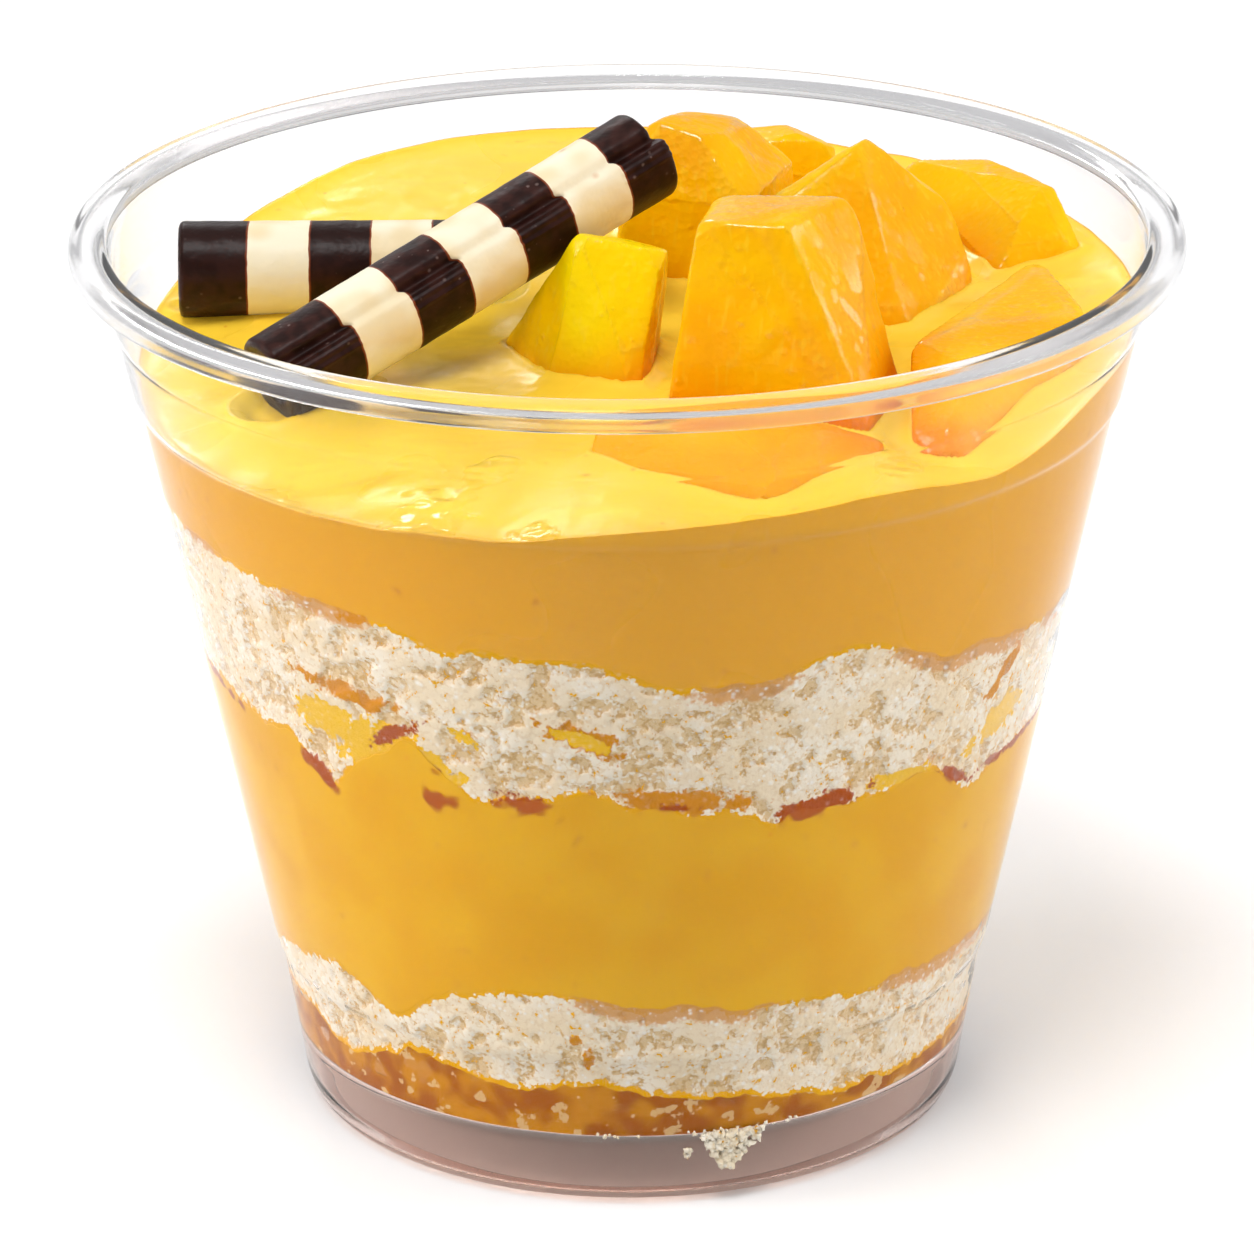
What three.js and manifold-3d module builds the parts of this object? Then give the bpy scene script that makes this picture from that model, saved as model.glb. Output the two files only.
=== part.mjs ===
// Layered mango cake in a clear tapered cup, topped with mango chunks and two striped chocolate rolls.
// Millimetres, +Z up, origin under the middle of the foot; the near side of the dessert faces -Y.
import * as THREE from 'three';
import { mergeVertices } from 'three/addons/utils/BufferGeometryUtils.js';
import { ConvexGeometry } from 'three/addons/geometries/ConvexGeometry.js';
import Module from 'manifold-3d';

const wasm = await Module();
wasm.setup();

// Cup: outline of the wall, its thickness and the raised floor.
const segments = 60;
const cupHeight = 81;
const rimRadius = 49;
const lipDrop = 2.4;
const lipThickness = 0.9;
const footRadius = 29.9;
const footRingInner = 27.4;
const footRingOuter = 28.4;
const wallThickness = 0.6;
const floorUnder = 6.8;
const floorTop = 7.6;
const floorBend = 0.9;
const skirtBend = { z: 2.4, lift: 0.8 };
const stepHalf = 0.4;
const nestStep = { z: 14.6, below: 31.95, above: 32.45 };
const shoulder = { z: 66.4, radius: 43.2, ledge: 43.75 };
const collarRing = { z: 73, radius: 45.05, ledge: 45.35 };
const collarTop = { z: 78.6, radius: 46.1 };
const lipBend = 0.35;
const lipDepth = 1.1;
const lipWebUnder = 1.2;
// Food: clearance between neighbouring solids and to the cup wall.
const gap = 0.3;
const layerInset = 0.2;
const pocketGap = 0.4;
const underFloor = 2;
const foodRimZ = 78;
const sheetRings = [18, 32, 38, 43, 52];
const layerEasing = 2;
const surfaceEasing = 1.6;

// Layer boundaries: level in the middle, lean of the rim towards an angle in degrees counted from +X
// towards +Y, and bumps at the wall, each [angle, width in degrees, rise].
const creamSurfaceEdge = {
  level: 70.3, lean: 4.2, towards: 44,
  bumps: [[120, 40, 3.4], [318, 14, -2.4], [282, 14, 0.6]],
};
const upperSpongeTopEdge = {
  level: 54.2, lean: 4.5, towards: 190,
  bumps: [[247, 4, -1.4], [278, 10, -1.5], [299, 8, 2.5], [313, 3, -0.9]],
};
const upperSpongeBottomEdge = {
  level: 41.2, lean: 3.2, towards: 170,
  bumps: [
    [210, 7, -1.3], [226, 4.5, -4.2], [240, 5, 3], [251, 4, -1],
    [264, 5, 1], [289, 2, -1.2], [313, 4, 1.8], [324, 8, -1.6],
  ],
};
const lowerSpongeTopEdge = {
  level: 18.2, lean: 1.5, towards: 275,
  bumps: [
    [90, 45, 3.5], [190, 12, -1.6], [215, 5, 0.8], [231, 6, -2.9],
    [255, 15, 2], [276, 8, 0.8], [311, 6, -0.5],
  ],
};
const lowerSpongeBottomEdge = {
  level: 10.6, lean: 1.7, towards: 190,
  bumps: [[214, 8, -1.9], [233, 4, 1.4], [252, 4, -0.8], [263, 7, 1], [315, 25, -1.2]],
};

// Soft swells of the cream surface: centre x and y, radius, height.
const creamSwells = [
  [-31, -12, 6, 1.9],
  [-18, -30, 7, 0.5],
  [-12, 26, 12, 0.8],
  [9, -35, 8, -0.9],
];

// Mango chunks: corner points of each cut piece before rounding.
const mangoRounding = 1.3;
const mangoCorners = {
  mango_front: [
    [4.2, -15.2, 64.5], [19.8, -21.2, 64.5], [23.0, -13.6, 64.5], [20.2, -4.8, 64.5], [6.2, -3.6, 64.5],
    [18.8, -5.2, 75.0], [7.6, -4.6, 76.0],
    [4.3, -15.4, 69.5], [19.8, -21.4, 69.5], [22.8, -13.8, 69.5],
    [6.9, -14.4, 85.2], [13.6, -15.6, 85.0], [18.1, -10.0, 85.4], [8.2, -8.8, 85.3],
  ],
  mango_slice: [
    [-2.6, -26.6, 65.6], [11.2, -34.6, 65.6], [20.8, -26.6, 66.0], [-1.6, -22.4, 65.6],
    [-2.6, -26.4, 68.7], [1.2, -30.2, 68.5], [11.3, -34.5, 68.3], [17.0, -31.0, 68.5], [20.9, -26.2, 68.8],
    [-1.4, -22.2, 71.0], [8.0, -23.2, 71.2], [15.0, -25.0, 70.6], [20.4, -25.4, 69.2],
  ],
  mango_left: [
    [-10.2, -0.6, 65.5], [-6.6, -7.2, 65.5], [0.6, -11.2, 65.5], [1.4, -1.0, 65.5], [-6.0, 2.4, 65.5],
    [-10.1, -0.8, 69.8], [-6.6, -7.2, 69.6], [0.6, -11.0, 69.6],
    [-4.2, -5.0, 80.2], [2.5, -5.6, 79.5], [2.5, -2.4, 78.6], [-1.0, -2.4, 79.3],
  ],
  mango_center: [
    [15.4, 4.6, 66.0], [24.4, -0.6, 66.0], [29.4, 7.0, 66.0], [25.6, 20.0, 66.0], [18.4, 16.2, 66.0],
    [24.4, -0.2, 71.0], [29.7, 8.6, 72.4], [28.0, 11.0, 77.6],
    [13.4, 5.8, 80.2], [20.6, 9.0, 84.7], [17.6, 13.6, 80.4], [23.6, 17.6, 79.4],
  ],
  mango_right: [
    [25.2, -24.0, 65.0], [27.4, -25.4, 65.0], [39.0, -10.8, 65.0], [35.6, 3.0, 66.0], [25.8, -9.4, 65.0],
    [25.2, -24.0, 69.4], [27.4, -25.4, 69.2], [39.4, -10.8, 70.4],
    [25.8, -13.8, 73.8], [36.2, 3.8, 74.8], [39.0, -8.8, 74.2], [29.0, -18.2, 73.4],
  ],
  mango_back_right: [
    [33.4, 10.8, 69.5], [39.6, 13.4, 69.5], [34.0, 25.4, 69.5], [26.4, 28.6, 69.5],
    [40.1, 13.8, 73.2], [33.6, 11.2, 72.8],
    [37.8, 17.6, 77.4], [33.6, 25.4, 77.4], [26.0, 28.0, 76.4],
  ],
  mango_back_left: [
    [-0.6, 14.4, 67.0], [9.6, 12.4, 67.0], [14.6, 20.4, 67.0], [12.4, 26.6, 67.0], [0.6, 26.0, 67.0],
    [3.2, 17.2, 84.2], [6.8, 16.4, 83.4], [10.2, 23.8, 82.2], [14.0, 23.0, 78.6], [10.4, 12.6, 78.2],
    [4.4, 24.2, 82.4], [0.4, 14.8, 78.0],
  ],
  mango_back: [
    [7.0, 30.4, 69.5], [18.6, 29.8, 69.5], [17.2, 36.4, 69.5], [8.6, 37.4, 69.5],
    [8.4, 31.2, 77.2], [14.4, 33.0, 78.2], [18.2, 31.0, 77.0], [9.6, 36.2, 76.6], [16.2, 35.4, 77.0],
  ],
};

// Chocolate rolls: axis from the near end to the far end, and the turn of the seam from seamFacing about it.
const rollRadius = 4.4;
const rollOval = 0.22;
const seamDepth = 0.9;
const seamWidth = 0.26;
const seamFacing = new THREE.Vector3(0.02, -0.95, 0.32);
const rollFacets = 26;
const rolls = {
  roll_front: { from: [-31.0, -13.6, 71.0], to: [2.2, 6.2, 85.6], seamTurn: -0.2 },
  roll_back: { from: [-40.1, 10.6, 73.4], to: [-12.6, 11.4, 73.1], seamTurn: 2.6 },
};

// Materials.
const plastic = new THREE.MeshStandardMaterial({
  name: 'clear_plastic', color: 0xe9edf0, roughness: 0.06, transparent: true, opacity: 0.35,
});
const cream = new THREE.MeshStandardMaterial({ name: 'mango_cream', color: 0xf0bb3a, roughness: 0.35 });
const sponge = new THREE.MeshStandardMaterial({ name: 'sponge_cake', color: 0xece2c6, roughness: 0.95 });
const mango = new THREE.MeshStandardMaterial({ name: 'mango_flesh', color: 0xf8ac0c, roughness: 0.25 });
const chocolate = new THREE.MeshStandardMaterial({
  name: 'striped_chocolate', color: 0x3a201a, roughness: 0.45,
});

const group = new THREE.Group();
group.name = 'mango_cake_cup';

function addPart(name, geometry, material) {
  const mesh = new THREE.Mesh(geometry, material);
  mesh.name = name;
  group.add(mesh);
}

// Outer radius of the cup wall at a height, from the foot to the collar.
const wallKnots = [
  [footRadius, 1.8],
  [nestStep.below, nestStep.z - stepHalf],
  [nestStep.above, nestStep.z + stepHalf],
  [shoulder.radius, shoulder.z],
  [shoulder.ledge, shoulder.z + 0.7],
  [collarRing.radius, collarRing.z],
  [collarRing.ledge, collarRing.z + 0.6],
  [collarTop.radius, collarTop.z],
];

function wallRadius(z) {
  const last = wallKnots.length - 1;
  for (let i = 0; i < last; i += 1) {
    const [r0, z0] = wallKnots[i];
    const [r1, z1] = wallKnots[i + 1];
    if (z <= z1) {
      return r0 + ((r1 - r0) * (z - z0)) / (z1 - z0);
    }
  }
  return wallKnots[last][0];
}

// A lathe of a list of [radius, height] points round the Z axis.
function turned(points) {
  const profile = points.map(([r, z]) => new THREE.Vector2(r, z));
  const geometry = new THREE.LatheGeometry(profile, segments);
  geometry.rotateX(Math.PI / 2);
  return geometry;
}

function toSolid(geometry) {
  const bare = geometry.clone();
  bare.deleteAttribute('normal');
  bare.deleteAttribute('uv');
  const merged = mergeVertices(bare, 1e-5);
  const mesh = new wasm.Mesh({
    numProp: 3,
    vertProperties: new Float32Array(merged.attributes.position.array),
    triVerts: new Uint32Array(merged.index.array),
  });
  return new wasm.Manifold(mesh);
}

function fromSolid(solid) {
  const mesh = solid.getMesh();
  const geometry = new THREE.BufferGeometry();
  geometry.setAttribute('position', new THREE.BufferAttribute(mesh.vertProperties, 3));
  geometry.setIndex(new THREE.BufferAttribute(mesh.triVerts, 1));
  geometry.computeVertexNormals();
  return geometry;
}

// Cup: foot ring, skirt, tapered wall with a nesting step, shoulder, collar and turned-down lip.
function cupProfile() {
  const inner = (z) => wallRadius(z) - wallThickness;
  const lipInner = rimRadius - lipThickness;
  const lipUnder = cupHeight - lipDrop;
  return [
    [0, floorUnder],
    [inner(floorUnder) - floorBend, floorUnder],
    [inner(floorUnder - floorBend), floorUnder - floorBend],
    [inner(skirtBend.z), skirtBend.z],
    [footRingOuter + 0.3, skirtBend.lift],
    [footRingInner, skirtBend.lift - 0.1],
    [footRingInner, 0],
    [footRingOuter, 0],
    [footRingOuter + 0.95, 0.45],
    ...wallKnots,
    [collarTop.radius + lipBend, cupHeight - lipWebUnder],
    [lipInner - lipBend, cupHeight - lipDepth],
    [lipInner, cupHeight - lipDepth - lipBend],
    [lipInner, lipUnder + 0.1],
    [lipInner + lipBend, lipUnder],
    [rimRadius - 0.15, lipUnder + lipBend],
    [rimRadius, lipUnder + lipDepth],
    [rimRadius - 0.15, cupHeight - 0.5],
    [rimRadius - 2 * lipBend, cupHeight],
    [collarTop.radius + lipBend, cupHeight],
    [inner(collarTop.z) + 0.15, cupHeight - lipBend],
    [inner(collarTop.z), cupHeight - lipDepth],
    ...wallKnots.slice(1).reverse().map(([r, z]) => [r - wallThickness, z]),
    [inner(floorTop + floorBend), floorTop + floorBend],
    [inner(floorTop) - floorBend, floorTop],
    [0, floorTop],
  ];
}
addPart('cup', turned(cupProfile()), plastic);

// The space that the food fills, a clearance away from wall and floor.
function fillProfile() {
  const side = (z) => wallRadius(z) - wallThickness - gap;
  const knots = wallKnots.slice(1, -1).map(([r, z]) => [r - wallThickness - gap, z]);
  return [
    [0, floorTop + gap],
    [side(floorTop) - floorBend, floorTop + gap],
    [side(floorTop + floorBend + gap), floorTop + floorBend + gap],
    ...knots,
    [side(foodRimZ), foodRimZ],
    [0, foodRimZ],
  ];
}
const fill = toSolid(turned(fillProfile()));

// Height of a boundary at the wall.
function rimLevel(edge, angle) {
  const degrees = (angle * 180) / Math.PI;
  let z = edge.level + edge.lean * Math.cos(angle - (edge.towards * Math.PI) / 180);
  for (const [at, width, rise] of edge.bumps) {
    const apart = ((degrees - at + 540) % 360) - 180;
    z += rise * Math.exp(-((apart / width) ** 2));
  }
  return z;
}

// Height of a boundary anywhere: the level in the middle, easing to the rim's by a power of the radius.
function boundary(edge, power) {
  const reach = wallRadius(edge.level) - wallThickness;
  return (r, angle) => {
    const weight = Math.min(1, r / reach) ** power;
    return edge.level + (rimLevel(edge, angle) - edge.level) * weight;
  };
}

// Height of the cream surface: its boundary with soft swells.
function creamSurface(power) {
  const base = boundary(creamSurfaceEdge, power);
  return (r, angle) => {
    let z = base(r, angle);
    for (const [cx, cy, radius, rise] of creamSwells) {
      const dx = r * Math.cos(angle) - cx;
      const dy = r * Math.sin(angle) - cy;
      z += rise * Math.exp(-(dx * dx + dy * dy) / (radius * radius));
    }
    return z;
  };
}

// A closed body between two height functions, on a round grid.
function slab(lower, upper, lowerShift, upperShift) {
  const positions = [];
  const index = [];
  const addSheet = (surface, shift) => {
    const start = positions.length / 3;
    positions.push(0, 0, surface(0, 0) + shift);
    for (const r of sheetRings) {
      for (let k = 0; k < segments; k += 1) {
        const angle = (2 * Math.PI * k) / segments;
        positions.push(r * Math.cos(angle), r * Math.sin(angle), surface(r, angle) + shift);
      }
    }
    return start;
  };
  const bottom = addSheet(lower, lowerShift);
  const top = addSheet(upper, upperShift);
  const at = (start, ring, k) => start + 1 + ring * segments + (k % segments);
  for (let k = 0; k < segments; k += 1) {
    index.push(top, at(top, 0, k), at(top, 0, k + 1));
    index.push(bottom, at(bottom, 0, k + 1), at(bottom, 0, k));
    for (let ring = 0; ring + 1 < sheetRings.length; ring += 1) {
      const corners = [[ring, k], [ring + 1, k], [ring + 1, k + 1], [ring, k + 1]];
      const [a, b, c, d] = corners.map(([q, j]) => at(top, q, j));
      index.push(a, b, c, a, c, d);
      const [e, f, g, h] = corners.map(([q, j]) => at(bottom, q, j));
      index.push(e, g, f, e, h, g);
    }
    const last = sheetRings.length - 1;
    const [a, b] = [at(bottom, last, k), at(bottom, last, k + 1)];
    const [c, d] = [at(top, last, k + 1), at(top, last, k)];
    index.push(a, b, c, a, c, d);
  }
  const geometry = new THREE.BufferGeometry();
  geometry.setAttribute('position', new THREE.Float32BufferAttribute(positions, 3));
  geometry.setIndex(index);
  return toSolid(geometry);
}

const flatFloor = () => floorTop - underFloor;
const spongeFoot = boundary(lowerSpongeBottomEdge, layerEasing);
const spongeRest = boundary(lowerSpongeTopEdge, layerEasing);
const cakeFoot = boundary(upperSpongeBottomEdge, layerEasing);
const cakeRest = boundary(upperSpongeTopEdge, layerEasing);
const surface = creamSurface(surfaceEasing);

const layers = [
  ['cream_base', flatFloor, spongeFoot, cream],
  ['sponge_lower', spongeFoot, spongeRest, sponge],
  ['cream_middle', spongeRest, cakeFoot, cream],
  ['sponge_upper', cakeFoot, cakeRest, sponge],
];
for (const [name, lower, upper, material] of layers) {
  addPart(name, fromSolid(fill.intersect(slab(lower, upper, layerInset, -layerInset))), material);
}

// A chunk is the hull of small balls set at its corner points.
function chunk(corners, radius) {
  const ball = new THREE.IcosahedronGeometry(radius, 0).attributes.position;
  const points = [];
  for (const [x, y, z] of corners) {
    for (let i = 0; i < ball.count; i += 1) {
      points.push(new THREE.Vector3(x + ball.getX(i), y + ball.getY(i), z + ball.getZ(i)));
    }
  }
  return new ConvexGeometry(points);
}

// A roll is an oval bar with a seam groove along one side.
function rollBar({ from, to, seamTurn }, grow) {
  const outline = [];
  for (let k = 0; k < rollFacets; k += 1) {
    const angle = (2 * Math.PI * (k - rollFacets / 2)) / rollFacets;
    const across = angle / seamWidth;
    const groove = seamDepth * Math.exp(-across * across);
    const radius = rollRadius + grow + rollOval * Math.cos(2 * angle) - groove;
    outline.push(new THREE.Vector2(radius * Math.cos(angle), radius * Math.sin(angle)));
  }
  const start = new THREE.Vector3(...from);
  const along = new THREE.Vector3(...to).sub(start);
  const length = along.length();
  along.normalize();
  const seam = seamFacing.clone().addScaledVector(along, -seamFacing.dot(along)).normalize();
  const side = new THREE.Vector3().crossVectors(along, seam);
  const bar = new THREE.ExtrudeGeometry(new THREE.Shape(outline), {
    depth: length + 2 * grow, bevelEnabled: false,
  });
  bar.translate(0, 0, -grow);
  bar.rotateZ(seamTurn);
  bar.applyMatrix4(new THREE.Matrix4().makeBasis(seam, side, along));
  bar.translate(start.x, start.y, start.z);
  return bar;
}

// Top cream with a pocket round each piece that sits in it.
let topCream = fill.intersect(slab(cakeRest, surface, layerInset, 0));
for (const corners of Object.values(mangoCorners)) {
  topCream = topCream.subtract(toSolid(chunk(corners, mangoRounding + pocketGap)));
}
for (const roll of Object.values(rolls)) {
  topCream = topCream.subtract(toSolid(rollBar(roll, pocketGap)));
}
addPart('cream_top', fromSolid(topCream), cream);

for (const [name, corners] of Object.entries(mangoCorners)) {
  addPart(name, fromSolid(toSolid(chunk(corners, mangoRounding))), mango);
}
for (const [name, roll] of Object.entries(rolls)) {
  addPart(name, fromSolid(toSolid(rollBar(roll, 0))), chocolate);
}

export default group;
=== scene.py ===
import math
import bpy
import numpy as np
from mathutils import Matrix, Vector


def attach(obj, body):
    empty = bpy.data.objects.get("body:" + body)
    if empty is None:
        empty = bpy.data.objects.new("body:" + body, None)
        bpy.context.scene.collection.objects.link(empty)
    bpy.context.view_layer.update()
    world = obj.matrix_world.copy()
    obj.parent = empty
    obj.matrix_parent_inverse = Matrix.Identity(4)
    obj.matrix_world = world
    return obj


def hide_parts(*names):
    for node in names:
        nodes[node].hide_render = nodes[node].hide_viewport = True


# Layered mango cake in a clear cup, with mango chunks and two striped chocolate rolls.
# The numbers below are millimetres in the CAD frame; makeMesh turns them into metres.
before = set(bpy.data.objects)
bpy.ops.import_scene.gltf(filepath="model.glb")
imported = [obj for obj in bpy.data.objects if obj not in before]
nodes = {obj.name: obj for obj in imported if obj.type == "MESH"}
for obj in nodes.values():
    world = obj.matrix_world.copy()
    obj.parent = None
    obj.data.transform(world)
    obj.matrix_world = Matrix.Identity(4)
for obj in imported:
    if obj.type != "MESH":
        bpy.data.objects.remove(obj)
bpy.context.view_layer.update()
mm = 0.001
tau = 2 * math.pi
print("frame loaded")


# 0 below low, 1 above high, and t*t*(3-2t) between them.
def smooth(x, low, high):
    t = np.clip((x - low) / (high - low), 0, 1)
    return t * t * (3 - 2 * t)


# A fixed random value from 0 to 1 for each whole-number cell x, y, z.
def scramble(x, y, z, seed):
    h = x.astype(np.uint32) * np.uint32(73856093) ^ y.astype(np.uint32) * np.uint32(19349663)
    h = h ^ z.astype(np.uint32) * np.uint32(83492791) ^ np.uint32(seed * 40503 + 977)
    h = (h ^ (h >> np.uint32(15))) * np.uint32(2246822519)
    h = (h ^ (h >> np.uint32(13))) * np.uint32(3266489917)
    return ((h ^ (h >> np.uint32(16))) & np.uint32(65535)) / 65535.0


# Smooth value noise from -1 to 1: random corner values of cells of that size, eased between them.
def lumps(points, size, seed):
    p = points / size
    cell = np.floor(p)
    t = p - cell
    t = t * t * (3 - 2 * t)
    cell = cell.astype(np.int64)
    total = np.zeros(points.shape[:-1])
    for corner in range(8):
        i, j, k = corner & 1, (corner >> 1) & 1, corner >> 2
        weight = (t[..., 0] if i else 1 - t[..., 0]) * (t[..., 1] if j else 1 - t[..., 1])
        weight = weight * (t[..., 2] if k else 1 - t[..., 2])
        total += weight * scramble(cell[..., 0] + i, cell[..., 1] + j, cell[..., 2] + k, seed)
    return 2 * total - 1


# Sum of lumps, each half the size and about half the strength of the one before.
def rough(points, size, octaves, seed):
    total, gain = 0, 1.0
    for octave in range(octaves):
        total = total + gain * lumps(points, size / 2 ** octave, seed + octave)
        gain *= 0.55
    return total


# Distance to the nearest of the points scattered one to a cell, in cell sizes.
def grains(points, size, seed):
    p = points / size
    cell = np.floor(p).astype(np.int64)
    best = np.full(points.shape[:-1], 9.0)
    for step in range(27):
        near = cell + np.array([step % 3 - 1, step // 3 % 3 - 1, step // 9 - 1])
        x, y, z = near[..., 0], near[..., 1], near[..., 2]
        spot = [near[..., a] + scramble(x, y, z, seed + a) for a in range(3)]
        best = np.minimum(best, np.sqrt(sum((spot[a] - p[..., a]) ** 2 for a in range(3))))
    return best


# One mesh piece from points in mm and a list of face index arrays; marks are its point attributes.
def makeMesh(name, points, faces, material, replaced=(), marks=None):
    mesh = bpy.data.meshes.new(name)
    flat = np.concatenate([f.ravel() for f in faces]).astype(np.int32)
    sizes = np.concatenate([np.full(len(f), f.shape[1]) for f in faces])
    starts = np.concatenate([[0], np.cumsum(sizes)[:-1]]).astype(np.int32)
    mesh.vertices.add(len(points))
    mesh.vertices.foreach_set("co", (np.asarray(points) * mm).astype(np.float32).ravel())
    mesh.loops.add(len(flat))
    mesh.loops.foreach_set("vertex_index", flat)
    mesh.polygons.add(len(starts))
    mesh.polygons.foreach_set("loop_start", starts)
    mesh.update(calc_edges=True)
    mesh.validate()
    mesh.shade_smooth()
    for mark, values in (marks or {}).items():
        layer = mesh.attributes.new(mark, "FLOAT", "POINT")
        layer.data.foreach_set("value", np.asarray(values, dtype=np.float32).ravel())
    mesh.materials.append(material)
    piece = bpy.data.objects.new(name, mesh)
    bpy.context.scene.collection.objects.link(piece)
    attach(piece, "root")
    if replaced:
        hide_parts(*replaced)
    print("made", name, len(points), "points")


# Faces of a closed grid of rows x columns points with a pole point before and after them.
def ballFaces(rows, columns):
    k = np.arange(columns)
    after = (k + 1) % columns
    i = np.arange(rows - 1)[:, None] * columns + 1
    quads = np.stack([i + k, i + after, i + columns + after, i + columns + k], -1).reshape(-1, 4)
    top = (rows - 1) * columns + 1
    low = np.stack([np.zeros_like(k), 1 + after, 1 + k], -1)
    high = np.stack([top + k, top + after, np.full_like(k, rows * columns + 1)], -1)
    return [quads, low, high]


# The grid's rows, closed by the mean of the first row and of the last.
def ballPoints(grid):
    return np.concatenate([grid[0].mean(0)[None], grid.reshape(-1, 3), grid[-1].mean(0)[None]])


# A closed piece from a grid of rows x columns points, with a mark's value for each grid point.
def makeBall(name, grid, material, node, marks):
    marked = {key: np.concatenate([[values[0].mean()], values.ravel(), [values[-1].mean()]])
              for key, values in marks.items()}
    makeMesh(name, ballPoints(grid), ballFaces(*grid.shape[:2]), material, [node], marked)


# Constants on a node's inputs; _ stands for a blank in an input's name.
def setInputs(node, values):
    for key, value in values.items():
        node.inputs[key.replace("_", " ")].default_value = value


# A node with its settings, and constants on its inputs.
def addNode(tree, kind, settings=None, **inputs):
    made = tree.nodes.new(kind)
    for key, value in (settings or {}).items():
        setattr(made, key, value)
    setInputs(made, inputs)
    return made


# Link from an output to an input.
def wire(tree, source, target):
    tree.links.new(source, target)


# A material with those constants on its shader, its node tree and the shader.
def startMaterial(name, **inputs):
    material = bpy.data.materials.new(name)
    material.use_nodes = True
    tree = material.node_tree
    body = tree.nodes["Principled BSDF"]
    setInputs(body, inputs)
    return material, tree, body


# An empty node group with inputs (label, kind, value) and outputs (label, kind), and its two end nodes.
def startGroup(name, inputs, outputs):
    group = bpy.data.node_groups.new(name, "ShaderNodeTree")
    for label, kind, value in inputs:
        socket = group.interface.new_socket(name=label, in_out="INPUT", socket_type="NodeSocket" + kind)
        if value is not None:
            socket.default_value = value
    for label, kind in outputs:
        group.interface.new_socket(name=label, in_out="OUTPUT", socket_type="NodeSocket" + kind)
    return group, group.nodes.new("NodeGroupInput"), group.nodes.new("NodeGroupOutput")


# A Mix node of two colours; each of the three may be a socket or a value.
def mixColours(tree, first, second, factor):
    made = addNode(tree, "ShaderNodeMix", {"data_type": "RGBA"})
    for socket, value in ((made.inputs[0], factor), (made.inputs[6], first), (made.inputs[7], second)):
        if isinstance(value, bpy.types.NodeSocket):
            wire(tree, value, socket)
        else:
            socket.default_value = value
    return made.outputs[2]


# A Math node's result; each of the three may be a socket or a value.
def calculate(tree, operation, first, second=None, third=None, clamp=False):
    made = addNode(tree, "ShaderNodeMath", {"operation": operation, "use_clamp": clamp})
    for socket, value in zip(made.inputs, (first, second, third)):
        if isinstance(value, bpy.types.NodeSocket):
            wire(tree, value, socket)
        elif value is not None:
            socket.default_value = value
    return made.outputs[0]


# 0 to 1 as source goes from low to high.
def ramp(tree, source, low, high):
    made = addNode(
        tree, "ShaderNodeMapRange", {"interpolation_type": "SMOOTHSTEP"}, From_Min=low, From_Max=high)
    wire(tree, source, made.inputs["Value"])
    return made.outputs[0]


# Screen colour 0-255 as the linear colour that a shader takes.
def srgb(red, green, blue):
    parts = [c / 255 for c in (red, green, blue)]
    return tuple(c / 12.92 if c <= 0.04045 else ((c + 0.055) / 1.055) ** 2.4 for c in parts) + (1,)


# The piece's own coordinates, in metres.
def objectPlace(tree):
    return addNode(tree, "ShaderNodeTexCoord").outputs["Object"]


# The piece's own point attribute of that name.
def markValue(tree, mark):
    return addNode(tree, "ShaderNodeAttribute", {"attribute_name": mark}).outputs["Fac"]


# Noise on the place, 0 to 1.
def noiseAt(tree, place, **values):
    noise = addNode(tree, "ShaderNodeTexNoise", **values)
    wire(tree, place, noise.inputs["Vector"])
    return noise.outputs[0]


# The outputs of a node group that works on the place, with its own values.
def effectAt(tree, place, group, **values):
    made = addNode(tree, "ShaderNodeGroup", {"node_tree": group}, **values)
    wire(tree, place, made.inputs["Place"])
    return made.outputs


# source * factor + offset, where the offset may be a socket.
def scaled(tree, source, factor, offset=0.0):
    return calculate(tree, "MULTIPLY_ADD", source, factor, offset)


# 0 to 1 as the piece's own mark, made ragged by a noise, goes from low to high.
def raggedMask(tree, mark, noise, raggedness, low, high):
    return ramp(tree, scaled(tree, noise, raggedness, markValue(tree, mark)), low, high)


# A texture inside a group that works on the group's own Place, at its Scale times factor.
def textureIn(group, kind, inputs, factor=1, **values):
    texture = addNode(group, kind, **values)
    wire(group, inputs.outputs["Place"], texture.inputs["Vector"])
    scale = inputs.outputs["Scale"]
    if factor != 1:
        scale = calculate(group, "MULTIPLY", scale, factor)
    wire(group, scale, texture.inputs["Scale"])
    return texture.outputs


# Mottle: one soft noise blends colour A into colour B.
def makeMottle():
    group, inputs, outputs = startGroup(
        "softMottle",
        [("Place", "Vector", None), ("Scale", "Float", 200.0), ("Colour A", "Color", None),
         ("Colour B", "Color", None)],
        [("Colour", "Color"), ("Shade", "Float")])
    wide = textureIn(group, "ShaderNodeTexNoise", inputs, Detail=1.0, Roughness=0.55)
    shade = ramp(group, wide[0], 0.36, 0.64)
    colour = mixColours(group, inputs.outputs["Colour A"], inputs.outputs["Colour B"], shade)
    wire(group, colour, outputs.inputs["Colour"])
    wire(group, shade, outputs.inputs["Shade"])
    return group


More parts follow.
